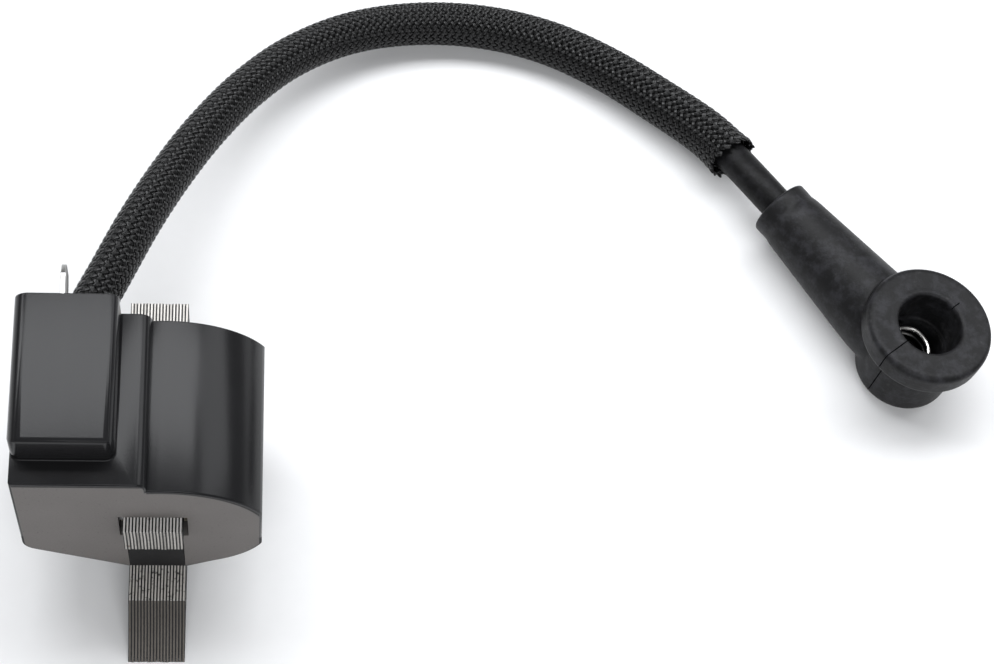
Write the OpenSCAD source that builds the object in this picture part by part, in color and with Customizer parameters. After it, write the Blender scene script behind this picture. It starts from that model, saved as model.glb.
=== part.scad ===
// Ignition coil for a small two-stroke engine: a laminated U core, a potted coil
// housing with an electronics box, a sleeved plug lead and a rubber plug cap.
// Millimetres. The back of the outer core leg rests on z = 0. +Y runs along the coil
// axis towards the yoke and +X runs across the core sheets.

/* [Core] */
// Number of steel sheets in the core
sheet_count = 18; // [16:1:18]
// Thickness of one sheet
sheet_t = 0.47; // [0.4:0.01:0.48]
// Spacing of the sheets
sheet_pitch = 0.5; // [0.48:0.01:0.5]
// Width of the leg that carries the coil
coil_leg_w = 8; // [7.5:0.1:8]
// Width of the outer leg
outer_leg_w = 6.4; // [6:0.1:7]
// Clear distance between the two legs
leg_gap = 15; // [14.8:0.1:15.2]
// Width of the yoke
yoke_w = 7.6; // [7:0.1:9]
// Radius that the pole faces are ground to
pole_r = 33; // [31:1:36]
// Radius that the outer leg's end is relieved to
relief_r = 28.5; // [28:0.1:30]
// Diameter of the two mounting holes
mount_hole_d = 4.3; // [3.4:0.1:4.4]
// Spacing of the two mounting holes
mount_spacing = 36; // [34:1:38]

/* [Housing] */
// Length of the housing along the coil axis
housing_len = 27.7; // [27:0.1:28]
// Radius of the drum around the coil
drum_r = 16.7; // [16:0.1:17.5]
// Wall thickness
wall = 1.2; // [1:0.1:1.4]
// Rise of the electronics box above the coil axis
box_rise = 24.8; // [24:0.1:26]
// Width of the electronics box
box_w = 15.4; // [15:0.1:16]
// Distance from the potting face to the foot of the electronics box
box_foot = 4; // [3:0.1:6]

/* [Kill terminal] */
// Width of the blade
blade_w = 6.3; // [4.8:0.1:6.3]
// Thickness of the blade
blade_t = 0.8; // [0.5:0.1:0.8]
// Height of the blade above the housing
blade_h = 8.3; // [6:0.1:9]

/* [Plug lead] */
// Diameter of the lead
lead_d = 5.9; // [5:0.1:6]
// Diameter of the stranded conductor
conductor_d = 1.5; // [1:0.1:1.6]
// Outside diameter of the braided sleeve
sleeve_d = 7.2; // [7:0.1:7.4]
// Outside diameter of the sleeve at its loose end
sleeve_end_d = 8.6; // [7.4:0.1:9]

/* [Plug cap] */
// Outside diameter of the cap's collar
collar_d = 21.8; // [20:0.1:23]
// Outside diameter of the cap's cup
cup_d = 16.7; // [16.4:0.1:17.6]
// Diameter of the plug bore
plug_bore_d = 11; // [10:0.1:12]
// Height of the cap
cap_h = 16.5; // [16:0.1:18]
// Length of the lead socket, from the plug axis to its mouth
socket_len = 34.5; // [32:0.5:38]

/* [Hidden] */
eps = 0.01;

// Place of the coil axis at the potting face. Coil coordinates start here.
axis_x = 2;
face_y = -11;
axis_z = coil_leg_w / 2 + leg_gap + outer_leg_w;

// Core, in coil coordinates
stack_w = (sheet_count - 1) * sheet_pitch + sheet_t;
yoke_y0 = 28;
outer_z0 = -axis_z;
outer_z1 = outer_z0 + outer_leg_w;
outer_mid_z = (outer_z0 + outer_z1) / 2;
leg_tip_y = -14;
pole_y = leg_tip_y - sqrt(pole_r * pole_r - axis_z * axis_z);
relief_y = leg_tip_y - sqrt(relief_r * relief_r - axis_z * axis_z);
mount_y1 = 31.8;
mount_y0 = mount_y1 - mount_spacing;
rivet_d = 3;
rivet_head_d = 4.8;
rivet_head_t = 0.6;
rivets = [[32, -7], [13, outer_mid_z]];

// Housing outline, in coil coordinates [x, z]
drum_mid = [1.5, -1.4];
drum_back_mid = [1.8, -2.2];
drum_back_r = drum_r - 1;
drum_flat_x = 16.5;
side_x = -20.5;
front_z = 17.7;
step_x = -0.5;
step_r = 2;
back_corner = [-17.1, -8.2];
back_corner_r = 3.4;
back_slope_a = 241;
seat_z = outer_z1 + 0.05;
seat_x = [-4.7, 4.8];
seat_run = [9.2, -16.05];
box_x1 = side_x + box_w;
box_left_r = 2.2;
box_right_r = 1.5;
box_foot_r = 0.8;
box_end_r = 1.5;
lip = 0.4;
lip_depth = 2;
web_w = 8.8;
web_depth = 2.5;
deep_y = housing_len - wall;

// Tunnel for the coil leg, and the coil around it
tunnel_w = stack_w + 1.5;
tunnel_h = coil_leg_w + 0.15;
tube_wall = 0.7;
tube_y0 = 2.4;
coil_y0 = 3;
coil_y1 = 25;
flange_t = 0.8;
primary_t = 1.1;
secondary_gap = 0.1;
secondary_wall = 0.8;
secondary_t = 2.1;
section_count = 5;
section_end = 1.2;
section_y0 = coil_y0 + section_end;
section_pitch = (coil_y1 - coil_y0 - 2 * section_end - flange_t) / section_count;
primary_core = [tunnel_w + 2 * tube_wall, tunnel_h + 2 * tube_wall];
primary_out = primary_core + 2 * [primary_t, primary_t];
secondary_in = primary_out + 2 * [secondary_gap, secondary_gap];
secondary_core = secondary_in + 2 * [secondary_wall, secondary_wall];
secondary_out = secondary_core + 2 * [secondary_t, secondary_t];
coil_out = secondary_out + [0.8, 0.8];

// Electronics, in coil coordinates
board_min = [-18.8, 6, 14];
board_size = [12, 15.5, 1.2];
board_top = board_min[2] + board_size[2];
blade_x = -14;
blade_mid_z = 15.15;
blade_foot_y = 22;
blade_tail = [blade_foot_y - 2.5, 2];
strip_t = 0.3;
strip_w = 3;

// Lead route, in part coordinates: out of the housing, down to the surface, to the cap
lead_exit = [-12, face_y + housing_len, 24];
lead_lean = 16;
lead_dir = [sin(lead_lean), cos(lead_lean), 0];
lead_inner = 6;
spike_base = lead_exit - lead_inner * lead_dir;
cap_x = 128.1;
cap_y = 27.9;
cap_turn = 128.1;
cap_lean = 8;
cap_axis_z = 7.75;
socket_z = 6.9;
lead_end = 18;
free_route = [[-10, 24, 24], [-6.4, 33, 22.5], [-1.9, 43.9, 20.5], [3, 54.5, 17.5],
    [8.5, 64.5, 14.5], [15, 74, 11.3], [22.9, 82.2, 8.5], [32.9, 88.3, 6.3],
    [44.5, 91.4, 4.8], [56.5, 91.5, 4.1], [67.9, 88.7, 4.1], [78.4, 83.4, 4.25],
    [88, 76.5, 4.7], [95.4, 70.2, 5.6], [100.1, 64.3, 6.7]];
socket_stops = [40, 33, 26, lead_end];
lead_route = concat([spike_base, lead_exit], free_route,
    [for (t = socket_stops) in_socket(t)]);
sleeve_rings = len(free_route) + 1;
loose_rings = 7;
spike_d = 1.4;
spike_len = 2;
spike_head_d = 3.4;
spike_head = spike_base - 0.8 * lead_dir;
core_bore_d = 1.7;
core_gap = 3;

// Plug cap and spring terminal, in cap coordinates
collar_t = 4.5;
collar_edge_r = 0.9;
cup_edge_r = 2;
groove = 0.5;
cap_floor = 1.5;
plug_bore_z = 9;
spring_seat_d = plug_bore_d - 1;
socket_d0 = 14.8;
socket_d1 = 10.6;
socket_start = 4;
socket_straight = 9;
socket_bore_d = lead_d + 0.14;
spring_passage_d = 4.4;
wire_d = 0.7;
spring_r = 3.75;
spring_off = 0.8;
spring_z0 = 2.1;
spring_pitch = 1.8;
spring_turns = 2.5;

// A point on the socket's axis, t from the plug axis
function in_socket(t) = [cap_x + t * cos(cap_turn), cap_y + t * sin(cap_turn), cap_axis_z];

function unit(v) = v / norm(v);

// The direction of a route at its point i
function heading(p, i) = unit(p[min(i + 1, len(p) - 1)] - p[max(i - 1, 0)]);

// A ring of n points of radius r around point i of route p
function ring(p, i, r, n) =
    let (t = heading(p, i), side = unit(cross(t, [0, 0, 1])), up = cross(side, t))
    [for (k = [0 : n - 1]) p[i] + r * (cos(360 * k / n) * side + sin(360 * k / n) * up)];

function flat(rings) = [for (one = rings) for (q = one) q];

// The faces between ring a and ring b of n points, numbered from base
function belt(base, n, a, b) = [for (k = [0 : n - 1])
    let (j = (k + 1) % n)
    for (f = [[base + a * n + k, base + b * n + k, base + b * n + j],
              [base + a * n + k, base + b * n + j, base + a * n + j]]) f];

// Points of an arc
function arc(mid, r, a0, a1, n = 6) = [for (k = [0 : n])
    let (a = a0 + (a1 - a0) * k / n) mid + r * [cos(a), sin(a)]];

// A solid rod swept along a route, with one radius
module swept_rod(route, r, n = 8) {
    m = len(route);
    last = (m - 1) * n;
    polyhedron(
        points = flat([for (i = [0 : m - 1]) ring(route, i, r, n)]),
        faces = concat(
            [[for (k = [0 : n - 1]) k]],
            [for (i = [0 : m - 2]) for (f = belt(0, n, i, i + 1)) f],
            [[for (k = [n - 1 : -1 : 0]) last + k]]),
        convexity = 10);
}

// A pipe swept along a route, with an outer and an inner radius at each point
module swept_pipe(route, outer, inner, n = 12) {
    m = len(route);
    inside = m * n;
    last = m - 1;
    polyhedron(
        points = concat(
            flat([for (i = [0 : last]) ring(route, i, outer[i], n)]),
            flat([for (i = [0 : last]) ring(route, i, inner[i], n)])),
        faces = concat(
            [for (i = [0 : last - 1]) for (f = belt(0, n, i, i + 1)) f],
            [for (i = [0 : last - 1]) for (f = belt(inside, n, i + 1, i)) f],
            [for (k = [0 : n - 1]) let (j = (k + 1) % n)
                for (f = [[k, j, inside + j], [k, inside + j, inside + k]]) f],
            [for (k = [0 : n - 1]) let (j = (k + 1) % n, o = last * n)
                for (f = [[o + j, o + k, inside + o + k],
                          [o + j, inside + o + k, inside + o + j]]) f]),
        convexity = 10);
}

module at_coil() {
    translate([axis_x, face_y, axis_z]) children();
}

module at_cap() {
    translate([cap_x, cap_y, cap_axis_z]) rotate([cap_lean, 0, cap_turn])
        translate([0, 0, -socket_z]) children();
}

// An outline in x and z, as a solid from y0 to y1
module along_y(y0, y1) {
    translate([0, y1, 0]) rotate([90, 0, 0]) linear_extrude(height = y1 - y0) children();
}

// An outline in y and z, as a solid t thick from x0
module along_x(x0, t) {
    translate([x0, 0, 0]) rotate([90, 0, 90]) linear_extrude(height = t) children();
}

// A rectangle with round corners, centred
module round_rect(size, r) {
    w = size[0] / 2 - r;
    h = size[1] / 2 - r;
    polygon(concat(arc([w, h], r, 0, 90), arc([-w, h], r, 90, 180),
        arc([-w, -h], r, 180, 270), arc([w, -h], r, 270, 360)));
}

// A box given by its lowest and highest corners
module block(low, high) {
    translate(low) cube(high - low);
}

// A straight round bar from p to q
module bar(p, q, d) {
    v = q - p;
    translate(p)
        rotate([0, acos(v[2] / norm(v)), atan2(v[1], v[0])])
            cylinder(h = norm(v), d = d, $fn = 24);
}

// ---------------------------------------------------------------- core

module core_outline() {
    low = leg_tip_y - 5;
    difference() {
        union() {
            translate([low, -coil_leg_w / 2]) square([yoke_y0 - low + eps, coil_leg_w]);
            translate([low, outer_z0]) square([yoke_y0 - low + eps, outer_leg_w]);
            translate([yoke_y0, outer_z0]) square([yoke_w, coil_leg_w / 2 - outer_z0]);
        }
        translate([pole_y, 0]) circle(r = pole_r, $fn = 180);
        intersection() {
            translate([relief_y, 0]) circle(r = relief_r, $fn = 180);
            translate([low, outer_z0 - 1]) square([-low, outer_leg_w + 2]);
        }
        for (y = [mount_y0, mount_y1])
            translate([y, outer_mid_z]) circle(d = mount_hole_d, $fn = 48);
        for (at = rivets) translate(at) circle(d = rivet_d, $fn = 32);
    }
}

module core_laminations() {
    color("lightslategray") at_coil()
        for (i = [0 : sheet_count - 1])
            along_x(-stack_w / 2 + i * sheet_pitch, sheet_t) core_outline();
}

module core_rivets() {
    color("silver") at_coil()
        for (at = rivets) {
            along_x(-stack_w / 2, stack_w) translate(at) circle(d = rivet_d, $fn = 32);
            for (x = [-stack_w / 2 - rivet_head_t, stack_w / 2])
                along_x(x, rivet_head_t) translate(at) circle(d = rivet_head_d, $fn = 32);
        }
}

// ---------------------------------------------------------------- housing

// The drum around the coil and the block beside it, drawn in by i
module body_outline(i = 0) {
    low = -40;
    intersection() {
        translate(drum_mid) circle(r = drum_r - i, $fn = 120);
        translate([-10, drum_back_mid[1]]) square([10 + drum_flat_x - i, -low]);
    }
    intersection() {
        translate(drum_back_mid) circle(r = drum_back_r - i, $fn = 120);
        translate([-10, low]) square([10 + drum_flat_x - i, drum_back_mid[1] - low]);
    }
    polygon(concat(
        arc([step_x - step_r, front_z - step_r], step_r - i, 90, 0),
        [[step_x - i, 0], seat_run + i * [-0.5, 0.9], [seat_x[1] - i / 3, seat_z + i],
            [seat_x[0] + i / 6, seat_z + i]],
        arc(back_corner, back_corner_r - i, back_slope_a, 180),
        [[side_x + i, front_z - i]]));
}

// The electronics box, drawn in by i
module box_outline(i = 0) {
    polygon(concat(
        [[side_x + i, front_z - 3]],
        arc([side_x + box_left_r, box_rise - box_left_r], box_left_r - i, 180, 90),
        arc([box_x1 - box_right_r, box_rise - box_right_r], box_right_r - i, 90, 0),
        [[box_x1 - i, front_z - 3]]));
}

// The box from the side, with its rounded lower front edge
module box_side() {
    polygon(concat(
        arc([box_foot + box_foot_r, box_rise - box_foot_r], box_foot_r, 90, 180),
        [[box_foot, 0], [housing_len, 0], [housing_len, box_rise]]));
}

// The box from above, with its rounded front corners
module box_plan() {
    y = box_foot + box_end_r;
    polygon(concat(
        arc([side_x + box_end_r, y], box_end_r, 180, 270),
        arc([box_x1 - box_end_r, y], box_end_r, 270, 360),
        [[box_x1, housing_len], [side_x, housing_len]]));
}

// The space inside the housing, which the potting fills
module cavity(mouth_y) {
    along_y(lip_depth, deep_y) body_outline(wall);
    along_y(mouth_y, lip_depth + eps) body_outline(lip);
    along_y(box_foot + wall, deep_y) box_outline(wall);
}

// The passage for the coil leg through the ends of the housing and the potting
module leg_passage() {
    along_y(-1, housing_len + 1) square([tunnel_w, tunnel_h], center = true);
}

// The hole that the lead is pushed into, with a recess for the end of its sleeve
module lead_socket() {
    bar(spike_base, lead_exit + lead_dir, lead_d);
    bar(lead_exit - 0.1 * lead_dir, lead_exit + 3 * lead_dir, sleeve_d + 0.1);
}

module blade_outline() {
    tip = housing_len + blade_h;
    chamfer = 1.2;
    w = blade_w / 2;
    polygon([[blade_tail[0], -blade_tail[1] / 2], [blade_foot_y, -blade_tail[1] / 2],
        [blade_foot_y, -w], [tip - 1.6 * chamfer, -w], [tip, -w + chamfer],
        [tip, w - chamfer], [tip - 1.6 * chamfer, w], [blade_foot_y, w],
        [blade_foot_y, blade_tail[1] / 2], [blade_tail[0], blade_tail[1] / 2]]);
}

module housing() {
    color([0.13, 0.13, 0.14]) {
        difference() {
            at_coil() union() {
                along_y(0, housing_len) body_outline();
                intersection() {
                    along_y(box_foot, housing_len) box_outline();
                    along_x(side_x - 1, box_w + 2) box_side();
                    linear_extrude(height = box_rise) box_plan();
                }
            }
            at_coil() cavity(-1);
            at_coil() leg_passage();
            at_coil() along_x(blade_x - blade_t / 2, blade_t)
                translate([0, blade_mid_z]) blade_outline();
            lead_socket();
        }
        at_coil() core_web();
    }
}

// The bridge that closes the mouth between the tunnel and the outer leg
module core_web() {
    block([-web_w / 2, 0, seat_z + lip / 2], [web_w / 2, web_depth, -tunnel_h / 2 - tube_wall]);
}

module potting() {
    color([0.42, 0.41, 0.4]) difference() {
        at_coil() cavity(0);
        at_coil() {
            leg_passage();
            core_web();
            along_y(tube_y0, deep_y + 1) square(primary_core, center = true);
            along_y(coil_y0, coil_y1) round_rect(coil_out, 3);
            block(board_min, board_min + board_size);
            front_parts_space();
            back_parts_space();
            along_x(blade_x - blade_t / 2, blade_t)
                translate([0, blade_mid_z]) blade_outline();
            strip_runs();
        }
        wires_and_contact();
        lead_socket();
    }
}

// ---------------------------------------------------------------- coil

module primary_bobbin() {
    color("ivory") at_coil() difference() {
        union() {
            along_y(tube_y0, deep_y) square(primary_core, center = true);
            for (y = [coil_y0, coil_y1 - flange_t])
                along_y(y, y + flange_t) round_rect(primary_out, 2);
        }
        leg_passage();
    }
}

module primary_winding() {
    color("peru") at_coil() difference() {
        along_y(coil_y0 + flange_t, coil_y1 - flange_t) round_rect(primary_out - [0.2, 0.2], 2);
        along_y(0, housing_len) square(primary_core, center = true);
    }
}

module secondary_bobbin() {
    color("wheat") at_coil() difference() {
        union() {
            along_y(section_y0, coil_y1 - section_end) round_rect(secondary_core, 3);
            for (i = [0 : section_count])
                along_y(section_y0 + i * section_pitch, section_y0 + i * section_pitch + flange_t)
                    round_rect(coil_out, 3);
        }
        along_y(0, housing_len) round_rect(secondary_in, 2);
    }
}

module secondary_winding() {
    color("chocolate") at_coil()
        for (i = [0 : section_count - 1])
            difference() {
                y = section_y0 + i * section_pitch + flange_t;
                along_y(y, y + section_pitch - flange_t) round_rect(secondary_out, 3);
                along_y(0, housing_len) round_rect(secondary_core, 3);
            }
}

// The spike that the lead is pushed onto, with its head
module hv_contact() {
    color("goldenrod") {
        bar(spike_head, spike_base, spike_head_d);
        bar(spike_base, spike_base + spike_len * lead_dir, spike_d);
    }
}

// Fine wires from the windings to the contact and to the circuit board
module coil_wires() {
    coil = [axis_x, face_y, axis_z];
    side = -coil_out[0] / 2;
    top = coil_out[1] / 2;
    color("sienna") {
        bar(coil + [side, 19, -3], spike_head - 0.3 * lead_dir, 0.5);
        for (y = [9, 16]) bar(coil + [-9.5, y, top], coil + [-9.5, y, board_min[2]], 0.6);
    }
}

module wires_and_contact() {
    hv_contact();
    coil_wires();
}

// ---------------------------------------------------------------- electronics

module front_parts_space() {
    block([-18.4, 6.3, board_top], [-7, 19.8, board_top + 3.4]);
}

module back_parts_space() {
    block([-18.4, 7, 8.9], [-11.8, 19, board_min[2]]);
}

module circuit_board() {
    color("darkgreen") at_coil() difference() {
        block(board_min, board_min + board_size);
        block([blade_x - blade_t / 2, blade_tail[0], 0], [blade_x + blade_t / 2, 30, 30]);
    }
}

module power_transistor() {
    body = [7.8, 10.8, 2.9];
    low = [-18.3, 6.4, board_top + 0.2];
    color("dimgray") at_coil() {
        difference() {
            block(low, low + body);
            translate(low + [body[0] / 2, 3, -1]) cylinder(h = 6, d = 3.1, $fn = 32);
        }
        for (k = [-1 : 1]) {
            x = low[0] + body[0] / 2 + 2.3 * k;
            y = low[1] + body[1];
            block([x - 0.4, y, low[2] + 1], [x + 0.4, y + 1.6, low[2] + 1.5]);
            block([x - 0.4, y + 1.1, board_top], [x + 0.4, y + 1.6, low[2] + 1.5]);
        }
    }
}

module driver_transistor() {
    mid = [-14.6, 9.6, 0];
    color("black") at_coil() translate(mid) {
        translate([0, 0, 9.2]) difference() {
            cylinder(h = 4.2, d = 4.6, $fn = 40);
            translate([-3, 1.4, -1]) cube([6, 3, 7]);
        }
        for (x = [-1.27, 0, 1.27]) block([x - 0.2, -0.2, 13.4], [x + 0.2, 0.2, board_min[2]]);
    }
}

module capacitor() {
    low = [-18.2, 13, 9.4];
    color("gold") at_coil() {
        block(low, low + [6.2, 5.6, 4.2]);
        for (x = [1.1, 5.1])
            translate(low + [x, 2.8, 4.2])
                cylinder(h = board_min[2] - low[2] - 4.2, d = 0.6, $fn = 16);
    }
}

// An axial part lying on the board, with its two bent leads
module axial_part(mid, body_d, body_l) {
    z = board_top + body_d / 2;
    h = 0.22;
    translate([mid[0], mid[1], z]) rotate([90, 0, 0])
        cylinder(h = body_l, d = body_d, center = true, $fn = 32);
    for (s = [-1, 1])
        translate([mid[0], mid[1], 0]) mirror([0, (s - 1) / 2, 0]) {
            block([-h, body_l / 2 - h, z - h], [h, body_l / 2 + 3 * h, z + h]);
            block([-h, body_l / 2 + h, board_top], [h, body_l / 2 + 3 * h, z + h]);
        }
}

module diode() {
    color("black") at_coil() axial_part([-8.3, 8.8], 2, 3.6);
}

module resistors() {
    color("burlywood") at_coil()
        for (at = [[-8.8, 13.8], [-8.8, 17.6]]) axial_part(at, 1.7, 2.6);
}

module kill_terminal() {
    color("gainsboro") at_coil() along_x(blade_x - blade_t / 2, blade_t)
        translate([0, blade_mid_z]) blade_outline();
}

module strip_runs() {
    x = -stack_w / 2 - 0.05;
    y = 1.6;
    half = strip_w / 2;
    block([x - strip_t, y, -half], [x, 14, half]);
    block([-12, y, -half], [x, y + strip_t, half]);
    block([-12, y, -half], [-12 + strip_w, y + strip_t, board_min[2]]);
    block([-12, y, board_min[2] - strip_t], [-12 + strip_w, 8, board_min[2]]);
}

module ground_strip() {
    color("silver") at_coil() strip_runs();
}

// ---------------------------------------------------------------- lead

// Radius of the sleeve at its ring i: it loosens towards its free end
function sleeve_r(i) = let (k = max(0, i - (sleeve_rings - 1 - loose_rings)) / loose_rings)
    (sleeve_d + k * (sleeve_end_d - sleeve_d)) / 2;

module hv_lead() {
    color([0.1, 0.1, 0.11]) swept_pipe(lead_route,
        [for (p = lead_route) lead_d / 2], [for (p = lead_route) core_bore_d / 2]);
}

module lead_conductor() {
    m = len(lead_route);
    route = concat([lead_route[0] + spike_len * lead_dir],
        [for (i = [1 : m - 2]) lead_route[i]], [in_socket(lead_end + core_gap)]);
    color("coral") swept_rod(route, conductor_d / 2);
}

module braided_sleeve() {
    route = [for (i = [1 : sleeve_rings]) lead_route[i]];
    thick = (sleeve_d - lead_d) / 2 - 0.1;
    color([0.16, 0.16, 0.17]) swept_pipe(route,
        [for (i = [0 : sleeve_rings - 1]) sleeve_r(i)],
        [for (i = [0 : sleeve_rings - 1]) sleeve_r(i) - thick]);
}

// ---------------------------------------------------------------- plug cap

module cap_profile() {
    r = cup_d / 2;
    c = collar_d / 2;
    z = cap_h - collar_t;
    polygon(concat([[0, 0]],
        arc([r - cup_edge_r, cup_edge_r], cup_edge_r, -90, 0),
        [[r, z - 2 * groove], [r - groove, z - groove], [r - groove, z]],
        arc([c - collar_edge_r, z + collar_edge_r], collar_edge_r, -90, 0),
        arc([c - collar_edge_r, cap_h - collar_edge_r], collar_edge_r, 0, 90),
        [[0, cap_h]]));
}

module boot() {
    color([0.12, 0.12, 0.13]) at_cap() difference() {
        union() {
            rotate_extrude($fn = 120) cap_profile();
            translate([socket_start, 0, socket_z]) rotate([0, 90, 0])
                cylinder(h = socket_straight - socket_start, d = socket_d0, $fn = 96);
            translate([socket_straight, 0, socket_z]) rotate([0, 90, 0])
                cylinder(h = socket_len - socket_straight, d1 = socket_d0, d2 = socket_d1,
                    $fn = 96);
        }
        translate([0, 0, cap_floor]) cylinder(h = cap_h, d = spring_seat_d, $fn = 96);
        translate([0, 0, plug_bore_z]) cylinder(h = cap_h, d = plug_bore_d, $fn = 96);
        translate([0, 0, socket_z]) rotate([0, 90, 0])
            cylinder(h = lead_end, d = spring_passage_d, $fn = 48);
        translate([lead_end - 0.1, 0, socket_z]) rotate([0, 90, 0])
            cylinder(h = socket_len, d = socket_bore_d, $fn = 96);
    }
}

// The spring's turns, then its tail up to the socket's axis and into the lead
module spring_terminal() {
    steps = 16 * spring_turns;
    turns = [for (k = [0 : steps])
        let (a = -90 - 360 * spring_turns * (1 - k / steps), rise = spring_pitch * spring_turns)
        [spring_off + spring_r * cos(a), spring_r * sin(a), spring_z0 + rise * k / steps]];
    tail = [[2.6, -3.4, 6.8], [3.9, -2.1, 6.85], [4.7, -0.8, socket_z],
        [7, 0, socket_z], [12, 0, socket_z], [lead_end + core_gap - 0.5, 0, socket_z]];
    color("gainsboro") at_cap() swept_rod(concat(turns, tail), wire_d / 2);
}

core_laminations();
core_rivets();
housing();
potting();
primary_bobbin();
primary_winding();
secondary_bobbin();
secondary_winding();
coil_wires();
circuit_board();
power_transistor();
driver_transistor();
capacitor();
diode();
resistors();
kill_terminal();
ground_strip();
hv_contact();
lead_conductor();
hv_lead();
braided_sleeve();
boot();
spring_terminal();
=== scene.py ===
# %% [markdown]
# # An ignition coil
# A small two-stroke engine gets its spark from this part: a coil potted in a plastic
# housing on a core of steel sheets, a plug lead in a braided sleeve, and a rubber cap
# that is pushed onto the spark plug. The CAD model gives every place and size. This
# lesson gives each piece that can be seen the shape and finish of the real one.

# %% Load the frame
import contextlib
import math
import random

import bmesh
import bpy
from mathutils import Matrix, Vector
from mathutils.geometry import interpolate_bezier


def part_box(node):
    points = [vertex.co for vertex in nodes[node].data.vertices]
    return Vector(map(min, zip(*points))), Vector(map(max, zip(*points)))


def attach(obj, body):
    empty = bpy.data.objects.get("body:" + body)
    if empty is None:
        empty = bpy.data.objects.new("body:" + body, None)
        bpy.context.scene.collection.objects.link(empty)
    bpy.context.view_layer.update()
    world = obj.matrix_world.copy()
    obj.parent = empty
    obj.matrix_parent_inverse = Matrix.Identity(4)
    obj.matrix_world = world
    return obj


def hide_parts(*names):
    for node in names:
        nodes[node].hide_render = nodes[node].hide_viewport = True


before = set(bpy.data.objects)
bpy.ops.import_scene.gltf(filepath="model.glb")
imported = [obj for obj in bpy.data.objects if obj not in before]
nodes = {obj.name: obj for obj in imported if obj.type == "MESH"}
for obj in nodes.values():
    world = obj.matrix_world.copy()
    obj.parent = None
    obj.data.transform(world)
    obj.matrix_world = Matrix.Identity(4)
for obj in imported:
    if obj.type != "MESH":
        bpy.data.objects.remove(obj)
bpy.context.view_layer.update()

MM = 0.001
print("CAD nodes:", len(nodes))

# %% [markdown]
# Blender works in metres and this part is a few centimetres long, so sizes are written
# in millimetres and turned into metres in one place.

# %% Sizes in millimetres
def mm(*values):
    """A point or a step in millimetres, as a vector in metres."""
    return Vector(values) * MM


# %% [markdown]
# ## The camera
# The coil is looked down on from in front and well above. The camera stands on a line
# through a target point, at an azimuth, an elevation and a distance, and is rolled.
# Its matrix is built from three directions: right, up and back.

# %% Place the camera
TARGET = mm(55.51, 22.38, 25.4)
DISTANCE = 400.54 * MM
AZIMUTH = math.radians(-12.75)
ELEVATION = math.radians(65.57)
ROLL = math.radians(12.5)
LENS = 90.54
SENSOR_WIDTH = 36

level = Vector((math.cos(AZIMUTH), math.sin(AZIMUTH), 0))
back = Vector((math.sin(AZIMUTH) * math.cos(ELEVATION),
               -math.cos(AZIMUTH) * math.cos(ELEVATION), math.sin(ELEVATION)))
steep = back.cross(level)
right = math.cos(ROLL) * level + math.sin(ROLL) * steep
up = math.cos(ROLL) * steep - math.sin(ROLL) * level

camera_data = bpy.data.cameras.new("camera")
camera_data.lens = LENS
camera_data.sensor_width = SENSOR_WIDTH
camera_data.clip_start = 0.01
camera = bpy.data.objects.new("camera", camera_data)
bpy.context.scene.collection.objects.link(camera)
camera.matrix_world = Matrix.Translation(TARGET + DISTANCE * back) @ Matrix(
    (right, up, back)).transposed().to_4x4()
bpy.context.scene.camera = camera
print("camera at", [round(v, 3) for v in camera.matrix_world.translation])

# %% [markdown]
# ## Working on a mesh
# An operator acts on everything that is selected, and loading leaves the CAD nodes
# selected. So each step first selects its own piece and nothing else.

# %% Select, edit and apply
def only(*pieces):
    """Selects these pieces and nothing else. The first becomes the active one."""
    bpy.ops.object.select_all(action="DESELECT")
    for piece in pieces:
        piece.select_set(True)
    bpy.context.view_layer.objects.active = pieces[0]


@contextlib.contextmanager
def editing(piece):
    """Edit mode on one piece, with all of it selected."""
    only(piece)
    bpy.ops.object.mode_set(mode="EDIT")
    bpy.ops.mesh.select_all(action="SELECT")
    yield
    bpy.ops.object.mode_set(mode="OBJECT")


def pick(piece, part, test):
    """Selects the piece's verts, edges or faces that pass a test, in edit mode."""
    mode = {"verts": "VERT", "edges": "EDGE", "faces": "FACE"}[part]
    bpy.ops.mesh.select_all(action="DESELECT")
    bpy.ops.mesh.select_mode(type=mode)
    shape = bmesh.from_edit_mesh(piece.data)
    for one in getattr(shape, part):
        if test(one):
            one.select_set(True)
    shape.select_flush_mode()
    bmesh.update_edit_mesh(piece.data)


def modify(piece, kind, **settings):
    """Adds a modifier to a piece and applies it."""
    only(piece)
    modifier = piece.modifiers.new(kind.lower(), kind)
    for name, value in settings.items():
        setattr(modifier, name, value)
    bpy.ops.object.modifier_apply(modifier=modifier.name)


def settle(piece, place=Matrix.Identity(4)):
    """Moves a piece to its place and leaves its object at the origin."""
    only(piece)
    piece.matrix_world = place @ piece.matrix_world
    bpy.ops.object.transform_apply(location=True, rotation=True, scale=True)


def smooth(piece, degrees=35):
    """Shades a piece smooth, except across its sharp edges."""
    only(piece)
    bpy.ops.object.shade_smooth_by_angle(angle=math.radians(degrees))


# %% Copy a CAD node
SAME_PLACE = 0.002 * MM
FLAT_ANGLE = math.radians(0.6)


def copy_of(node, name):
    """A copy of a CAD node with its loose triangles merged into whole faces."""
    piece = bpy.data.objects.new(name, nodes[node].data.copy())
    bpy.context.scene.collection.objects.link(piece)
    piece.data.materials.clear()
    with editing(piece):
        bpy.ops.mesh.remove_doubles(threshold=SAME_PLACE)
        bpy.ops.mesh.dissolve_limited(angle_limit=FLAT_ANGLE)
    print(name, "is a copy with", len(piece.data.polygons), "faces")
    return piece


# %% [markdown]
# ## The lead's route
# The plug lead is a stiff rubber-covered cable. It leaves the housing beside the blade
# terminal, sinks to the surface in one wide arc, and ends in the plug cap. One Bezier
# curve runs through the same points as the CAD solid. The handles follow the direction
# from the point before to the point after, so that no bend shows a corner.

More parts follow.
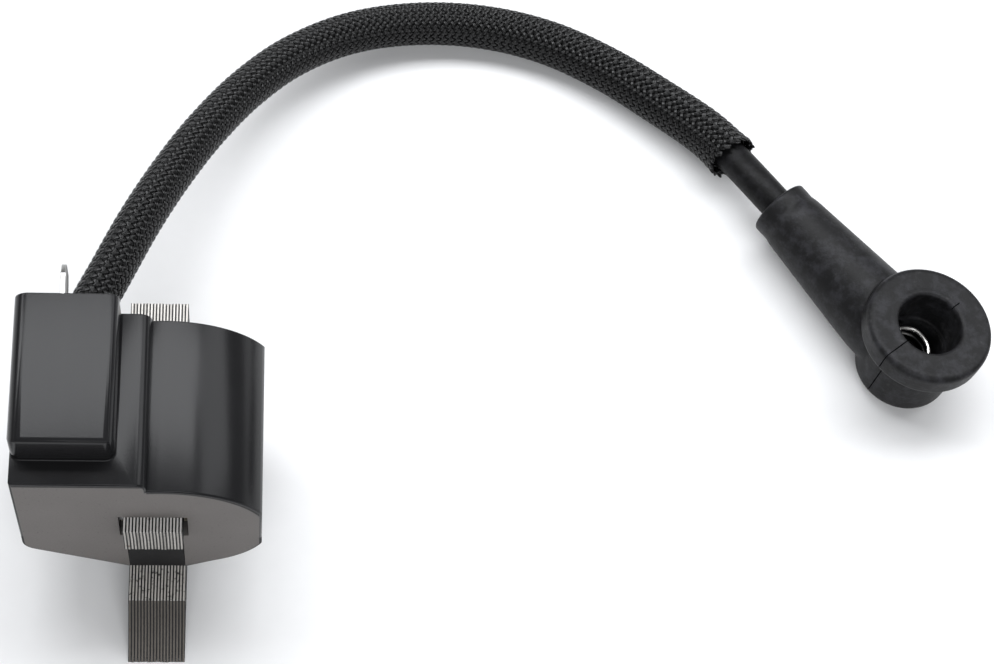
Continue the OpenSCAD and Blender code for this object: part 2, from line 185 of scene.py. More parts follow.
# %% Points of the route
LEAD_EXIT = mm(-12, 16.7, 24)
LEAD_LEAN = math.radians(16)
LEAD_DIRECTION = Vector((math.sin(LEAD_LEAN), math.cos(LEAD_LEAN), 0))
LEAD_D = 5.9 * MM
CAP_PLACE = mm(128.1, 27.9, 7.75)
CAP_TURN = math.radians(128.1)
CAP_LEAN = math.radians(8)
SOCKET_Z = 6.9
SLEEVE_STOP = 16
IN_HOUSING = 6 * MM

in_air = [(-10, 24, 24), (-6.4, 33, 22.5), (-1.9, 43.9, 20.5), (3, 54.5, 17.5),
          (8.5, 64.5, 14.5), (15, 74, 11.3), (22.9, 82.2, 8.5), (32.9, 88.3, 6.3),
          (44.5, 91.4, 4.8), (56.5, 91.5, 4.1), (67.9, 88.7, 4.1), (78.4, 83.4, 4.25),
          (88, 76.5, 4.7), (95.4, 70.2, 5.6), (100.1, 64.3, 6.7)]
at_cap = (Matrix.Translation(CAP_PLACE) @ Matrix.Rotation(CAP_TURN, 4, "Z")
          @ Matrix.Rotation(CAP_LEAN, 4, "X") @ Matrix.Translation(mm(0, 0, -SOCKET_Z)))
in_socket = [at_cap @ mm(t, 0, SOCKET_Z) for t in (40, 33, 26, 18)]
route = [LEAD_EXIT - IN_HOUSING * LEAD_DIRECTION, LEAD_EXIT]
route += [mm(*point) for point in in_air] + in_socket


# %% Handles of the route
def handles(points):
    """The handle before and after each point, for one smooth curve through them."""
    pairs = []
    for i, point in enumerate(points):
        before = points[max(i - 1, 0)]
        after = points[min(i + 1, len(points) - 1)]
        direction = (after - before).normalized()
        pairs.append((point - direction * (point - before).length / 3,
                      point + direction * (after - point).length / 3))
    return pairs


def bezier_piece(name, points, radius, roundness):
    """A round bar along one open Bezier curve."""
    data = bpy.data.curves.new(name, "CURVE")
    data.dimensions = "3D"
    data.bevel_depth = radius
    data.bevel_resolution = roundness
    data.use_fill_caps = True
    data.resolution_u = 12
    spline = data.splines.new("BEZIER")
    spline.bezier_points.add(len(points) - 1)
    for knot, point, (before, after) in zip(spline.bezier_points, points, handles(points)):
        knot.handle_left_type = "FREE"
        knot.handle_right_type = "FREE"
        knot.co = point
        knot.handle_left = before
        knot.handle_right = after
    piece = bpy.data.objects.new(name, data)
    bpy.context.scene.collection.objects.link(piece)
    return piece


lead = bezier_piece("lead_insulation", route, LEAD_D / 2, 6)

# %% [markdown]
# ## The braided sleeve
# The sleeve is braided from sixteen flat yarns that wind to the left and sixteen that
# wind to the right, each over one and under the next. A picture of a braid on a tube
# would look flat along the outline, so every yarn is a real ribbon: it winds around the
# route, and its distance from the middle swings out and in at each crossing.

# %% Even steps along the route
STEP = 0.24 * MM
FINE_POINTS = 60


def even_steps(points):
    """Points at even steps along the smooth curve through some points."""
    fine = []
    for i in range(len(points) - 1):
        fine += interpolate_bezier(points[i], handles(points)[i][1],
                                   handles(points)[i + 1][0], points[i + 1],
                                   FINE_POINTS)[:-1]
    fine.append(points[-1])
    steps = [fine[0]]
    walked = 0
    for a, b in zip(fine, fine[1:]):
        piece = (b - a).length
        while walked + piece >= STEP * len(steps):
            steps.append(a.lerp(b, (STEP * len(steps) - walked) / piece))
        walked += piece
    return steps


def frames_along(steps):
    """For each step: the point, the direction, and two directions across."""
    across = Vector((0, 0, 1))
    framed = []
    for i, point in enumerate(steps):
        ahead = (steps[min(i + 1, len(steps) - 1)] - steps[max(i - 1, 0)]).normalized()
        across = (across - across.dot(ahead) * ahead).normalized()
        framed.append((point, ahead, across, ahead.cross(across)))
    return framed


sleeve_frames = frames_along(even_steps(route[1:SLEEVE_STOP + 1]))
sleeve_length = STEP * (len(sleeve_frames) - 1)
print("sleeve:", round(sleeve_length / MM, 1), "mm in", len(sleeve_frames), "steps")

# %% The shape of one yarn
YARNS = 16
PITCH = 22 * MM
YARN_W = 0.98 * MM
YARN_T = 0.34 * MM
SWING = 0.15 * MM
SLEEVE_R = 3.24 * MM
LOOSE = 85 * MM
LOOSE_GAIN = 0.62 * MM
FLARE = 5 * MM
FLARE_GAIN = 0.35 * MM
crossing = PITCH / (2 * YARNS)
section = [(-0.5, 0.05), (-0.27, 0.8), (0.27, 0.8), (0.5, 0.05), (0, -0.4)]


def sleeve_radius(s):
    """The sleeve widens towards its loose end, and flares at the cut."""
    free = max(0, (s - sleeve_length + LOOSE) / LOOSE)
    flare = max(0, (s - sleeve_length + FLARE) / FLARE)
    return SLEEVE_R + LOOSE_GAIN * free + FLARE_GAIN * flare ** 2


def yarn_point(i, hand, number):
    """A point of a yarn's middle line and the direction straight out there."""
    s = i * STEP
    point, _, across, other = sleeve_frames[i]
    turn = 2 * math.pi * (hand * s / PITCH + number / YARNS)
    out = math.cos(turn) * across + math.sin(turn) * other
    swing = SWING * hand * math.cos(math.pi * s / crossing)
    return point + (sleeve_radius(s) + swing) * out, out


def yarn(hand, number, last):
    """Points of a ribbon's sections from the housing to its cut end."""
    points = []
    for i in range(last + 1):
        here, out = yarn_point(i, hand, number)
        near = yarn_point(max(i - 1, 0), hand, number)[0]
        far = yarn_point(min(i + 1, last), hand, number)[0]
        side = (far - near).cross(out).normalized()
        points += [here + a * YARN_W * side + b * YARN_T * out for a, b in section]
    return points


# %% Braid the sleeve
CUT_SLANT = 0.6
CUT_RAGGED = 0.5
SEED = 7


def braid(name, hand, draw):
    """All the yarns that wind one way, as one mesh. The attribute across goes from -1 to 1
    over each ribbon. The cut is slanted: its length changes around the sleeve."""
    points = []
    faces = []
    n = len(section)
    for number in range(YARNS):
        start = len(points)
        end_turn = 2 * math.pi * (hand * sleeve_length / PITCH + number / YARNS)
        cut = (CUT_SLANT + CUT_SLANT * math.sin(end_turn) + draw.uniform(0, CUT_RAGGED)) * MM
        last = len(sleeve_frames) - 1 - round(cut / STEP)
        points += yarn(hand, number, last)
        for i in range(last):
            for k in range(n):
                a = start + i * n + k
                b = start + i * n + (k + 1) % n
                faces.append((a, a + n, b + n, b))
        faces.append([start + k for k in range(n)])
        faces.append([start + last * n + k for k in reversed(range(n))])
    mesh = bpy.data.meshes.new(name)
    mesh.from_pydata(points, [], faces)
    across = mesh.attributes.new("across", "FLOAT", "POINT")
    for i, value in enumerate(across.data):
        value.value = 2 * section[i % n][0]
    mesh.shade_smooth()
    piece = bpy.data.objects.new(name, mesh)
    bpy.context.scene.collection.objects.link(piece)
    with editing(piece):
        bpy.ops.mesh.normals_make_consistent(inside=False)
    print(name, "has", sum(len(f.vertices) - 2 for f in mesh.polygons), "triangles")
    return piece


draw = random.Random(SEED)
yarns_right = braid("braid_yarns_right", 1, draw)
yarns_left = braid("braid_yarns_left", -1, draw)

# %% [markdown]
# ## The plug cap
# The cap is one piece of soft rubber: a cup that goes over the plug, a thick collar
# around its mouth and a tapered socket for the lead. The cup and the socket are turned
# from profiles, joined with booleans, and hollowed the same way. Rubber has no sharp
# edges, so the joined shape is remeshed in small voxels and smoothed, which leaves a
# fillet wherever two surfaces meet.

# %% Turn a piece from a profile
def arc(mid, radius, start, stop, count=8):
    """Points of an arc in a profile, in millimetres, from one angle to another."""
    angles = [math.radians(start + (stop - start) * k / count) for k in range(count + 1)]
    return [(mid[0] + radius * math.cos(a), mid[1] + radius * math.sin(a)) for a in angles]


def turned(name, profile, steps=128):
    """A closed piece turned about the z axis from (radius, height) points."""
    bpy.ops.object.select_all(action="DESELECT")
    bpy.ops.mesh.primitive_plane_add(size=1 * MM)
    piece = bpy.context.active_object
    piece.name = name
    with editing(piece):
        bpy.ops.mesh.merge(type="CENTER")
        bpy.ops.transform.translate(value=mm(profile[0][0], 0, profile[0][1]))
        for (r0, z0), (r1, z1) in zip(profile, profile[1:]):
            bpy.ops.mesh.extrude_vertices_move(
                TRANSFORM_OT_translate={"value": mm(r1 - r0, 0, z1 - z0)})
        bpy.ops.mesh.select_all(action="SELECT")
        bpy.ops.mesh.spin(steps=steps, angle=2 * math.pi, center=(0, 0, 0), axis=(0, 0, 1))
        bpy.ops.mesh.select_all(action="SELECT")
        bpy.ops.mesh.remove_doubles(threshold=0.001 * MM)
        bpy.ops.mesh.normals_make_consistent(inside=False)
    return piece


def join_shape(piece, tool, operation):
    """Adds a tool's shape to a piece, or takes it away, and removes the tool."""
    modify(piece, "BOOLEAN", operation=operation, solver="EXACT", object=tool)
    bpy.data.objects.remove(tool)


# %% Turn the cup and its collar
CAP_H = 16.5
cup_profile = ([(0, 0), (4.5, 0)] + arc((6.35, 2), 2, -90, 0)
               + [(8.35, 10.2), (8.2, 11), (8.2, 11.75)]
               + arc((10.3, 12.1), 0.35, -90, 0, 4)
               + [(10.82, 12.3), (10.88, 13.5)]
               + arc((9.9, 15.5), 1.0, 0, 90)
               + [(8.2, 16.42), (6.9, 16.4), (6.2, CAP_H), (0, CAP_H)])
boot = turned("cap_rubber", cup_profile)
print("cup turned:", len(boot.data.polygons), "faces")

# %% Turn the socket and lay it along x
lay_down = Matrix.Translation(mm(0, 0, SOCKET_Z)) @ Matrix.Rotation(math.pi / 2, 4, "Y")
socket_profile = ([(0, 3), (7.45, 3), (7.45, 8.5), (7.2, 12), (5.6, 30.2), (5.3, 31.6),
                   (5.35, 32.3)]
                  + arc((4.9, 33.9), 0.5, 20, 90, 5) + [(0, 34.4)])
socket = turned("socket", socket_profile, 96)
settle(socket, lay_down)
join_shape(boot, socket, "UNION")

# %% Hollow the cap
hollow = turned("hollow", [(0, 1.5), (5, 1.5), (5, 9), (5.5, 9), (5.5, 15.9)]
                + arc((6.1, 15.9), 0.6, 180, 90, 5) + [(6.1, 18), (0, 18)])
join_shape(boot, hollow, "DIFFERENCE")
passage = turned("passage", [(0, 0), (2.2, 0), (2.2, 17.9), (3.02, 17.9), (3.02, 33.8),
                             (3.5, 34.5), (3.5, 36), (0, 36)], 64)
settle(passage, lay_down)
join_shape(boot, passage, "DIFFERENCE")

# %% Round every edge
VOXEL = 0.24 * MM
modify(boot, "REMESH", mode="VOXEL", voxel_size=VOXEL)
modify(boot, "SMOOTH", factor=0.5, iterations=5)
print("cap:", len(boot.data.polygons), "faces after the remesh")

# %% [markdown]
# The two halves of the mould met in a plane across the socket. They left a thin line
# down one side of the cap, and a short notch in the collar's rim on the other side. The
# mesh is cut along that plane, and the new points there are pressed in a little.

# %% Press in the mould's parting line
LINE_DEPTH = 0.3 * MM
OUTSIDE_Y = 5.4 * MM
NOTCH_END_Y = 7.2 * MM
NOTCH_FOOT_Z = 15.6 * MM


def on_line(vertex):
    return abs(vertex.co.x) < SAME_PLACE and vertex.co.y > OUTSIDE_Y


def in_notch(vertex):
    return (abs(vertex.co.x) < SAME_PLACE and -NOTCH_END_Y < vertex.co.y < -OUTSIDE_Y
            and vertex.co.z > NOTCH_FOOT_Z)


with editing(boot):
    bpy.ops.mesh.bisect(plane_co=(0, 0, 0), plane_no=(1, 0, 0))
    for test in (on_line, in_notch):
        pick(boot, "verts", test)
        bpy.ops.transform.shrink_fatten(value=-LINE_DEPTH)
    bpy.ops.mesh.select_all(action="SELECT")
    bpy.ops.mesh.quads_convert_to_tris()
settle(boot, at_cap)
smooth(boot, 60)
print("cap:", len(boot.data.polygons), "triangles")

# %% [markdown]
# ## The spring terminal
# A spring of bright steel wire sits in the cup and grips the plug. Its tail bends up and
# runs back through the socket into the end of the lead.

# %% Wind the spring
SPRING_R = 3.75
SPRING_OFF = 0.8
SPRING_PITCH = 1.8
SPRING_FOOT = 2.1
SPRING_WIRE_R = 0.35 * MM
TURNS = 2.5
PER_TURN = 16
coil_points = []
for k in range(int(PER_TURN * TURNS) + 1):
    angle = math.radians(-90 - 360 * TURNS + 360 / PER_TURN * k)
    coil_points.append(mm(SPRING_OFF + SPRING_R * math.cos(angle),
                          SPRING_R * math.sin(angle),
                          SPRING_FOOT + SPRING_PITCH * k / PER_TURN))
coil_points += [mm(2.6, -3.4, 6.8), mm(3.9, -2.1, 6.85), mm(4.7, -0.8, SOCKET_Z),
                mm(7, 0, SOCKET_Z), mm(12, 0, SOCKET_Z), mm(20.5, 0, SOCKET_Z)]
spring = bezier_piece("spring_wire", [at_cap @ p for p in coil_points],
                      SPRING_WIRE_R, 3)
spring.data.resolution_u = 4
only(spring)
bpy.ops.object.convert(target="MESH")
smooth(spring)
print("spring:", len(spring.data.polygons), "faces")

# %% [markdown]
# ## The housing
# The housing is one moulding. Its CAD shape is right, but every edge of it is sharp, and
# a moulded edge always catches a thin line of light. So a copy is taken, and three sets
# of its edges are bevelled: the outer edges of the far end, the inner corner at the foot
# of the electronics box, and the outer edges of the mouth.

# %% Bevel the housing
END_Y = 16.7 * MM
MOUTH_Y = -11 * MM
FRONT_Z = 43.1 * MM
CORE_MID = mm(2, 0, 25.4)
CORE_REACH = mm(5.6, 0, 4.6)
BLADE_MID = mm(-12, 0, 40.55)
BLADE_REACH = mm(0.8, 0, 3.5)
LEAD_REACH = 4.4 * MM
BOX_LEFT_X = -18.3 * MM
BOX_FRONT_Y = -7.4 * MM
MOUTH_MID = mm(0, 0, 26)
ON_PLANE = 0.01 * MM
SHARP_ANGLE = math.radians(50)


def sharp(edge):
    return len(edge.link_faces) == 2 and edge.calc_face_angle(0) > SHARP_ANGLE


def all_at(edge, axis, place):
    return all(abs(v.co[axis] - place) < ON_PLANE for v in edge.verts)


def within(point, middle, reach):
    """Whether a point lies within a rectangle around a middle, seen along y."""
    return abs(point.x - middle.x) < reach.x and abs(point.z - middle.z) < reach.z


def outer_end_edge(edge):
    """An outer edge of the far end, away from the holes for core, blade and lead."""
    middle = (edge.verts[0].co + edge.verts[1].co) / 2
    in_tunnel = within(middle, CORE_MID, CORE_REACH)
    in_slot = within(middle, BLADE_MID, BLADE_REACH)
    from_lead = math.hypot(middle.x - LEAD_EXIT.x, middle.z - LEAD_EXIT.z)
    in_holes = in_tunnel or in_slot or from_lead < LEAD_REACH
    return sharp(edge) and all_at(edge, 1, END_Y) and not in_holes


def box_foot_edge(edge):
    """The inner corner where the electronics box stands on the front wall."""
    inside = all(v.co.x > BOX_LEFT_X and v.co.y > BOX_FRONT_Y for v in edge.verts)
    return sharp(edge) and all_at(edge, 2, FRONT_Z) and inside


def mouth_edge(edge):
    """An outer edge of the mouth: both of its faces look away from the potting."""
    middle = (edge.verts[0].co + edge.verts[1].co) / 2
    outwards = middle - MOUTH_MID
    side = [f.normal for f in edge.link_faces if abs(f.normal.y) < 0.5]
    return (sharp(edge) and all_at(edge, 1, MOUTH_Y) and len(side) == 1
            and side[0].x * outwards.x + side[0].z * outwards.z > 0)


housing = copy_of("housing", "housing_moulding")
for test, offset in ((outer_end_edge, 0.15), (box_foot_edge, 0.3), (mouth_edge, 0.34)):
    with editing(housing):
        pick(housing, "edges", test)
        chosen = sum(e.select for e in bmesh.from_edit_mesh(housing.data).edges)
        bpy.ops.mesh.bevel(offset=offset * MM, segments=4, profile=0.5, clamp_overlap=False)
    print(test.__name__, chosen, "edges bevelled by", offset, "mm")
smooth(housing, 30)

# %% [markdown]
# ## The potting
# Resin is poured into the housing and sets to a dull grey surface.

# %% Copy the potting
potting = copy_of("potting", "potting_resin")
smooth(potting, 30)

# %% [markdown]
# ## The core
# The core is a stack of punched steel sheets. Punching rounds the edges of every sheet,
# so the stack shows fine bright lines with dark gaps. A copy of the CAD sheets gets
# rounded edges, and each sheet slips along y by a few hundredths of a millimetre. Every
# second random number is passed over.

# %% Round the sheets' edges
SHEETS = 18
SHEET_PITCH = 0.5 * MM
SLIP = 0.05
core = copy_of("core_laminations", "core_sheets")
core_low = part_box("core_laminations")[0]
modify(core, "BEVEL", width=0.11 * MM, segments=2, limit_method="ANGLE",
       angle_limit=math.radians(40), use_clamp_overlap=True)
slips = []
for _ in range(SHEETS):
    slips.append(draw.uniform(-SLIP, SLIP) * MM)
    draw.random()
for vertex in core.data.vertices:
    sheet = min(int((vertex.co.x - core_low.x) / SHEET_PITCH), SHEETS - 1)
    vertex.co.y += slips[sheet]
smooth(core, 25)

# %% The rivets and the blade
rivets = copy_of("core_rivets", "rivet_heads")
modify(rivets, "BEVEL", width=0.45 * MM, segments=4, limit_method="ANGLE",
       angle_limit=math.radians(40))
smooth(rivets, 40)
blade = copy_of("kill_terminal", "kill_blade")
modify(blade, "BEVEL", width=0.12 * MM, segments=2, limit_method="ANGLE",
       angle_limit=math.radians(20))
smooth(blade, 30)

# %% [markdown]
# ## Shader maths
# A material is a tree of nodes. Written as links it is hard to read, so a small class
# wraps one output of a node, and the operators on it add Math nodes.

# %% Values and finishes
class Value:
    """One output of a shader node, with the arithmetic of Math nodes."""

    def __init__(self, finish, socket):
        self.finish = finish
        self.socket = socket

    def __add__(self, other):
        return self.finish.maths("ADD", self, other)

    def __sub__(self, other):
        return self.finish.maths("SUBTRACT", self, other)

    def __mul__(self, other):
        return self.finish.maths("MULTIPLY", self, other)

    def __rsub__(self, other):
        return self.finish.maths("SUBTRACT", other, self)

    def most(self, other):
        return self.finish.maths("MAXIMUM", self, other)

    __radd__ = __add__
    __rmul__ = __mul__


class Finish:
    """A material being made."""

    def __init__(self, name):
        self.material = bpy.data.materials.new(name)
        self.material.use_nodes = True
        self.tree = self.material.node_tree
        self.shader = self.tree.nodes["Principled BSDF"]
        self.place = self.node("ShaderNodeTexCoord", output="Object")

    def node(self, kind, settings=None, inputs=None, output=0):
        """Adds a node: its settings first, then the values or links of its sockets."""
        made = self.tree.nodes.new(kind)
        for name, value in (settings or {}).items():
            setattr(made, name, value)
        for name, value in (inputs or {}).items():
            self.feed(made.inputs[name], value)
        return Value(self, made.outputs[output])

    def feed(self, socket, value):
        """Links a value to a socket, or sets a constant on it."""
        if isinstance(value, Value):
            self.tree.links.new(value.socket, socket)
        else:
            socket.default_value = value

    def maths(self, operation, *values):
        """A Math node on one, two or three values."""
        return self.node("ShaderNodeMath", {"operation": operation}, dict(enumerate(values)))

    def noise(self, scale, detail=3, rough=0.5, place=None):
        """Noise with about that many bumps per metre."""
        return self.node("ShaderNodeTexNoise", {}, {
            "Vector": place or self.place, "Scale": scale, "Detail": detail,
            "Roughness": rough}, output="Fac")

    def band(self, value, low, high):
        """0 below low and 1 above high, with a smooth rise between."""
        return self.node("ShaderNodeMapRange", {"interpolation_type": "SMOOTHSTEP"}, {
            "Value": value, "From Min": low, "From Max": high})

    def mix(self, factor, first, second):
        """A colour between two colours."""
        return self.node("ShaderNodeMix", {"data_type": "RGBA"},
                         {0: factor, 6: first, 7: second}, output=2)

    def stretched(self, x, y, z):
        """Object coordinates, scaled by a factor along each axis."""
        return self.node("ShaderNodeVectorMath", {"operation": "MULTIPLY"},
                         {0: self.place, 1: (x, y, z)})

    def part(self, axis):
        """One of the object coordinates."""
        return self.node("ShaderNodeSeparateXYZ", {}, {0: self.place}, output=axis)

    def bump(self, height, depth):
        """Bump from a height of 0 to 1, at a depth in millimetres."""
        self.feed(self.shader.inputs["Normal"], self.node("ShaderNodeBump", {}, {
            "Height": height, "Distance": depth * MM, "Strength": 1.0}))

    def set(self, **sockets):
        """Sets or links sockets of the shader, named in lower case."""
        for name, value in sockets.items():
            socket = " ".join(w if w.isupper() else w.title() for w in name.split("_"))
            self.feed(self.shader.inputs[socket], value)
        return self.material


def dress(material, *pieces):
    """Gives pieces one material."""
    for piece in pieces:
        piece.data.materials.clear()
        piece.data.materials.append(material)


def grey(value, red=0.0, blue=0.0):
    """A colour near grey."""
    return (value * (1 + red), value, value * (1 + blue), 1)


# %% [markdown]
# ## Black plastic
# The housing is filled plastic, satin black. Close up it shows flow streaks along the
# pull of the mould, a fine grain and a few duller patches where hands have been. The
# bridge between the legs, below the coil's mouth, is duller than the rest.

# %% Moulded plastic
BRIDGE_Y = (-8.6 * MM, -8.4 * MM)
BRIDGE_Z = (20 * MM, 21 * MM)


def moulded_plastic():
    finish = Finish("moulded_plastic")
    grain = finish.noise(2600, 2)
    streaks = finish.noise(500, 4, 0.6, finish.stretched(1, 0.06, 1))
    patches = finish.noise(90, 4, 0.6)
    dust = finish.band(finish.noise(1500, 5, 0.7), 0.66, 0.76)
    colour = finish.mix(patches, grey(0.008, 0, 0.06), grey(0.012, 0, 0.08))
    bridge = 1 - finish.band(finish.part("Y"), *BRIDGE_Y)
    bridge = bridge * (1 - finish.band(finish.part("Z"), *BRIDGE_Z))
    finish.bump(grain * 0.6 + streaks * 0.5 + dust * 0.5, 0.012)
    return finish.set(base_color=finish.mix(dust * 0.15, colour, grey(0.12)),
                      roughness=0.15 + 0.08 * patches + 0.05 * streaks + 0.4 * bridge,
                      specular_IOR_level=0.18)


dress(moulded_plastic(), housing)

# %% [markdown]
# ## Potting resin
# Filled epoxy: dull, grey with a little brown, with tiny pits where bubbles broke, and
# a low swell where it flowed. The pits are painted darker: painted shade. A black band
# is painted along the top of the mouth, round over the drum and flat over the
# electronics box: it stands for the housing's dark rim and the shade along it.

# %% Cured resin
DRUM_MID = mm(3.5, 0, 24)
ROUND_RIM_SHADE_R = (15.75 * MM, 15.9 * MM)
ROUND_RIM_SHADE_X = (1.4 * MM, 1.5 * MM)
ROUND_RIM_SHADE_Z = (27 * MM, 32 * MM)
FLAT_RIM_SHADE_Z = (42 * MM, 42.15 * MM)


def away_from(finish, middle):
    """Distance of a point from a line along y through a middle."""
    across = finish.part("X") - middle.x
    up = finish.part("Z") - middle.z
    return finish.maths("SQRT", across * across + up * up)


def cured_resin():
    finish = Finish("cured_resin")
    swell = finish.noise(120, 3)
    grain = finish.noise(3000, 3, 0.6)
    pits = finish.node("ShaderNodeTexVoronoi", {}, {
        "Vector": finish.place, "Scale": 900}, output="Distance")
    pit_and_shade = 1 - finish.band(pits, 0.06, 0.16)
    colour = finish.mix(swell, (0.134, 0.123, 0.116, 1), (0.16, 0.147, 0.139, 1))
    # Painted shade: a black band along the top of the mouth stands for the housing's dark rim
    # and the shade along it.
    round_rim_and_shade = finish.band(away_from(finish, DRUM_MID), *ROUND_RIM_SHADE_R)
    drum_side = finish.band(finish.part("X"), *ROUND_RIM_SHADE_X)
    round_rim_and_shade = round_rim_and_shade * drum_side * finish.band(finish.part("Z"), *ROUND_RIM_SHADE_Z)
    flat_rim_and_shade = finish.band(finish.part("Z"), *FLAT_RIM_SHADE_Z)
    rim_and_painted_shade = round_rim_and_shade.most(flat_rim_and_shade)
    finish.bump(swell * 0.8 + grain * 0.25 - pit_and_shade * 0.6, 0.06)
    # Painted shade: the pits are painted darker; the grain darkens the resin a little at random.
    resin = finish.mix(pit_and_shade * 0.5 + grain * 0.2, colour, grey(0.06))
    return finish.set(base_color=finish.mix(rim_and_painted_shade, resin, grey(0.006)),
                      roughness=0.62 + 0.2 * grain)


dress(cured_resin(), potting)

# %% [markdown]
# ## Punched steel
# Upward faces of the sheets get a bright colour on top of the leg in the coil: painted
# light. The pole faces and the yoke keep a darker copy of it: painted shade. The outer
# leg's inner face is painted pale, as painted light, and dirty; its end is painted dark,
# as painted shade; and a painted highlight runs as a thin pale line along the fold
# between them. Varnish and dirt keep the gaps between sheets dark, and a few spots have
# begun to rust.

# %% Core steel
GAP = (0.24, 0.35)
PAINTED_LIGHT_UPWARD = (0.55, 0.85)
OUTER_LEG_Z = (12 * MM, 15 * MM)
YOKE_Y = (5 * MM, 8 * MM)
FOLD_Y = -16.6 * MM
FOLD_HIGHLIGHT_WIDTH = (0.06 * MM, 0.2 * MM)
INNER_FACE_Y = (-16.75 * MM, FOLD_Y)


def core_steel():
    finish = Finish("core_steel")
    along = (finish.part("X") - core_low.x) * (1 / SHEET_PITCH)
    sheet = finish.maths("FLOOR", along)
    inside = finish.maths("FRACT", along)
    edge = finish.maths("ABSOLUTE", inside - 0.5)
    waver = finish.noise(2200, 3, 0.6, finish.stretched(1, 0.5, 0.5))
    gap = finish.band(edge + 0.1 * waver, *GAP)
    shade = finish.node("ShaderNodeTexWhiteNoise", {"noise_dimensions": "1D"},
                        {"W": sheet}, output="Value")
    tear = finish.noise(1800, 4, 0.7, finish.stretched(1, 0.2, 0.2))
    dirt = finish.band(finish.noise(1100, 5, 0.75), 0.54, 0.62)
    on_the_leg = 1 - finish.band(finish.part("Z"), *OUTER_LEG_Z)
    rust = finish.band(finish.noise(420, 5, 0.7), 0.64, 0.7)
    # Painted light: faces that look upward get the bright steel, the rest a darker copy as
    # painted shade, and the yoke stays in the darker copy.
    normal = finish.node("ShaderNodeNewGeometry", output="Normal")
    upright = finish.node("ShaderNodeSeparateXYZ", {}, {0: normal}, output="Z")
    painted_top_light = finish.band(upright, *PAINTED_LIGHT_UPWARD)
    yoke = finish.band(finish.part("Y"), *YOKE_Y)
    inner = finish.band(finish.part("Y"), *INNER_FACE_Y)
    # Painted highlight: a thin pale line along the outer leg's fold.
    painted_fold_highlight = 1 - finish.band(finish.maths("ABSOLUTE", finish.part("Y") - FOLD_Y), *FOLD_HIGHLIGHT_WIDTH)
    painted_shade_steel = finish.mix(shade, (0.38, 0.365, 0.34, 1), (0.55, 0.53, 0.50, 1))
    painted_light_steel = finish.mix(shade, (0.93, 0.91, 0.88, 1), (1.0, 0.98, 0.95, 1))
    steel = finish.mix(painted_top_light * (1 - 0.95 * yoke), painted_shade_steel, painted_light_steel)
    # Painted light and shade on the outer leg: its inner face is painted pale and its end dark.
    painted_lit_face_shaded_end = finish.mix(inner, (0.15, 0.135, 0.12, 1), (0.72, 0.69, 0.65, 1))
    painted_outer_leg = finish.mix(painted_fold_highlight * 0.6, painted_lit_face_shaded_end, (0.7, 0.68, 0.65, 1))
    steel_and_painted_outer_leg = finish.mix(on_the_leg, steel, painted_outer_leg)
    spotted = finish.mix(dirt * (0.1 + 0.75 * on_the_leg * inner), steel_and_painted_outer_leg, grey(0.02))
    worn = finish.mix(rust * 0.6, spotted, (0.12, 0.06, 0.035, 1))
    finish.bump(tear, 0.02)
    return finish.set(base_color=finish.mix(gap, worn, grey(0.005)),
                      metallic=0.75 - 0.5 * rust - 0.75 * gap,
                      roughness=0.50 + 0.2 * tear + 0.2 * rust)


dress(core_steel(), core)

# %% [markdown]
# ## Bright metals
# Tin on the blade and steel on the rivets are alike: metal with a soft grain from
# rolling. The spring's lower turns are painted dark and dull, as painted shade, and only
# its top turn is bright.

# %% Bright metals
PAINTED_SHADE_END_Z = (5.5 * MM, 6.3 * MM)


def bright_metal(name, tint, scale, rough):
    finish = Finish(name)
    grain = finish.noise(scale, 4, 0.6, finish.stretched(1, 0.1, 1))
    dull = finish.noise(300, 3)
    finish.bump(grain, 0.01)
    darker = tuple(0.72 * v for v in tint[:3]) + (1,)
    return finish.set(base_color=finish.mix(dull, darker, tint), metallic=1.0,
                      roughness=rough + 0.15 * grain)


def spring_metal():
    finish = Finish("spring_metal")
    # Painted shade: the wire below the top turn is painted dark.
    above_painted_shade = finish.band(finish.part("Z"), *PAINTED_SHADE_END_Z)
    grain = finish.noise(2500, 4)
    finish.bump(grain, 0.01)
    return finish.set(base_color=finish.mix(above_painted_shade, grey(0.03), grey(0.9, 0.02, -0.04)),
                      metallic=0.9, roughness=0.5 - 0.2 * above_painted_shade)


dress(spring_metal(), spring)
dress(bright_metal("tinned_metal", (0.5, 0.5, 0.49, 1), 2500, 0.25), blade)
dress(bright_metal("rivet_steel", (0.6, 0.6, 0.6, 1), 1200, 0.28), rivets)

# %% [markdown]
# ## Rubber
# The cap and the lead are black rubber. The cap has a dull, slightly cloudy skin with
# paler patches where it was handled. The lead is darker, and its clouds are smaller.

# %% Rubber
def rubber(name, shade, rough, cloud_scale):
    finish = Finish(name)
    cloud = finish.noise(cloud_scale, 4, 0.6)
    mottle = finish.band(finish.noise(2.4 * cloud_scale, 5, 0.7), 0.42, 0.66)
    grain = finish.noise(2400, 3, 0.6)
    scuff = finish.band(finish.noise(350, 5, 0.7), 0.6, 0.75)
    colour = finish.mix(mottle, grey(shade, 0, 0.05), grey(shade * 2.4, 0, 0.12))
    finish.bump(grain + cloud * 0.5 + mottle * 0.4, 0.03)
    return finish.set(base_color=finish.mix(scuff * 0.2, colour, grey(0.1)),
                      roughness=rough + 0.16 * cloud + 0.06 * grain,
                      specular_IOR_level=0.13)


dress(rubber("cap_rubber", 0.009, 0.34, 160), boot)
dress(rubber("lead_rubber", 0.004, 0.36, 260), lead)

# %% [markdown]
# ## Braid
# Each yarn is a bundle of straight black filaments. The filaments run along the ribbon,
# so their lines come from the value stored across each ribbon.

# %% Braided yarn
FILAMENT_WAVES = 9.4


